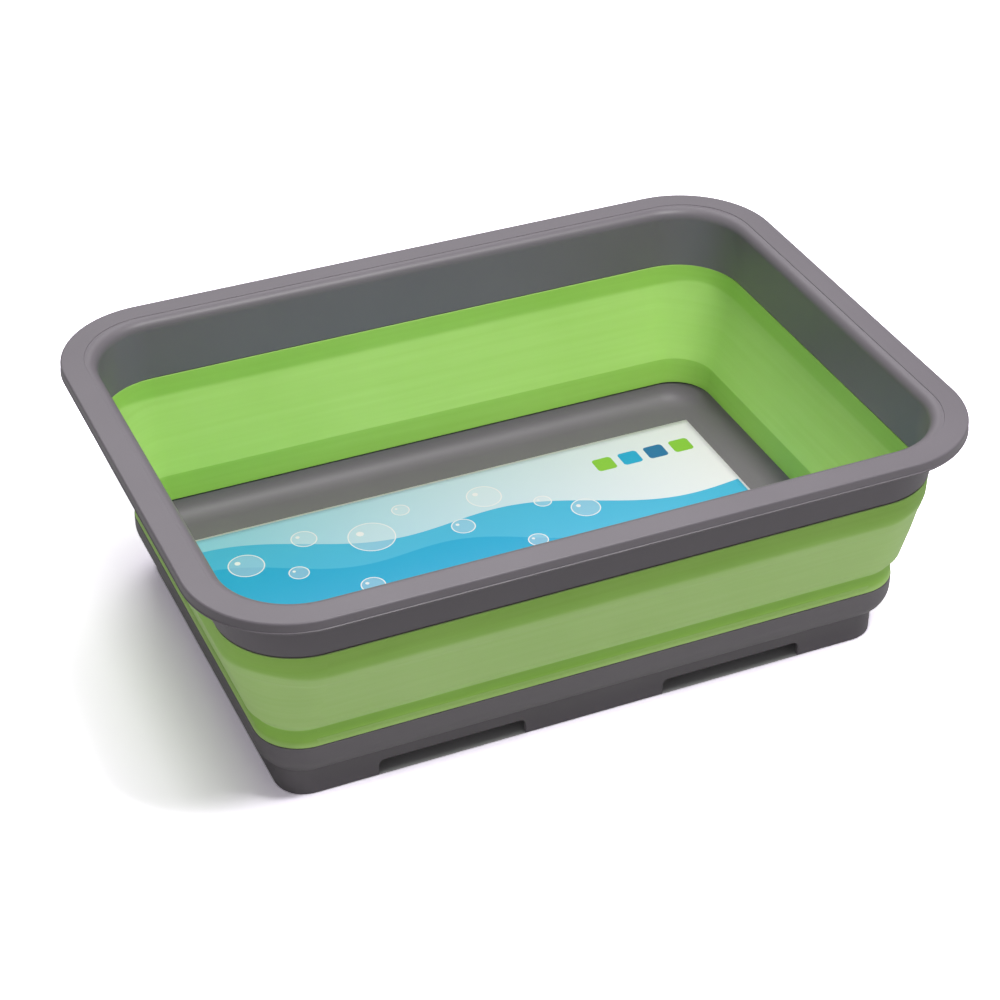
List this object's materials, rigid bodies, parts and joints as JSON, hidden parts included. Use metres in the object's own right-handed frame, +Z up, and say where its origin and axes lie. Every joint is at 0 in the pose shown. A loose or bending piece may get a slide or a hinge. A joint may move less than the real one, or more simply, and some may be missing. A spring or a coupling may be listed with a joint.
{
  "type": "collapsible wash basin",
  "caption": "Rectangular wash basin with a hard rim and base tray joined by a soft rubber wall that turns inside out, so the basin folds flat.",
  "frame": {"origin": "on the surface that the basin stands on, under the middle of the rim", "axes": "+X along the long side, +Y along the short side, +Z up"},
  "size_m": [0.38, 0.278, 0.1245],
  "materials": {
    "grey_plastic": "satin moulded polypropylene",
    "green_rubber": "matt moulded thermoplastic rubber",
    "printed_label": "printed sheet, semi-gloss"
  },
  "bodies": {
    "base": {"base_tray": "grey_plastic", "wall_lower_band": "green_rubber", "floor_label": "printed_label"},
    "rim": {"rim_frame": "grey_plastic", "wall_upper_band": "green_rubber"},
    "wall_ring_1": {"wall_panel_ring_1": "green_rubber"},
    "wall_ring_2": {"wall_panel_ring_2": "green_rubber"},
    "wall_ring_3": {"wall_panel_ring_3": "green_rubber"},
    "wall_ring_4": {"wall_panel_ring_4": "green_rubber"},
    "wall_ring_5": {"wall_panel_ring_5": "green_rubber"},
    "wall_ring_6": {"wall_panel_ring_6": "green_rubber"}
  },
  "joints": [
    {"name": "collapse", "type": "slide", "parent": "base", "child": "rim", "axis": [0, 0, -1], "range_m": [0, 0.0706]},
    {"name": "wall_turn_1", "type": "slide", "parent": "base", "child": "wall_ring_1", "axis": [0, 0, -1], "range_m": [0, 0.0648]},
    {"name": "wall_turn_2", "type": "slide", "parent": "base", "child": "wall_ring_2", "axis": [0, 0, -1], "range_m": [0, 0.053]},
    {"name": "wall_turn_3", "type": "slide", "parent": "base", "child": "wall_ring_3", "axis": [0, 0, -1], "range_m": [0, 0.0412]},
    {"name": "wall_turn_4", "type": "slide", "parent": "base", "child": "wall_ring_4", "axis": [0, 0, -1], "range_m": [0, 0.0295]},
    {"name": "wall_turn_5", "type": "slide", "parent": "base", "child": "wall_ring_5", "axis": [0, 0, -1], "range_m": [0, 0.0177]},
    {"name": "wall_turn_6", "type": "slide", "parent": "base", "child": "wall_ring_6", "axis": [0, 0, -1], "range_m": [0, 0.0059]}
  ],
  "couplings": [
    {"joint": "wall_turn_1", "follows": "collapse", "ratio": 0.91667},
    {"joint": "wall_turn_2", "follows": "collapse", "ratio": 0.75},
    {"joint": "wall_turn_3", "follows": "collapse", "ratio": 0.58333},
    {"joint": "wall_turn_4", "follows": "collapse", "ratio": 0.41667},
    {"joint": "wall_turn_5", "follows": "collapse", "ratio": 0.25},
    {"joint": "wall_turn_6", "follows": "collapse", "ratio": 0.083333}
  ]
}
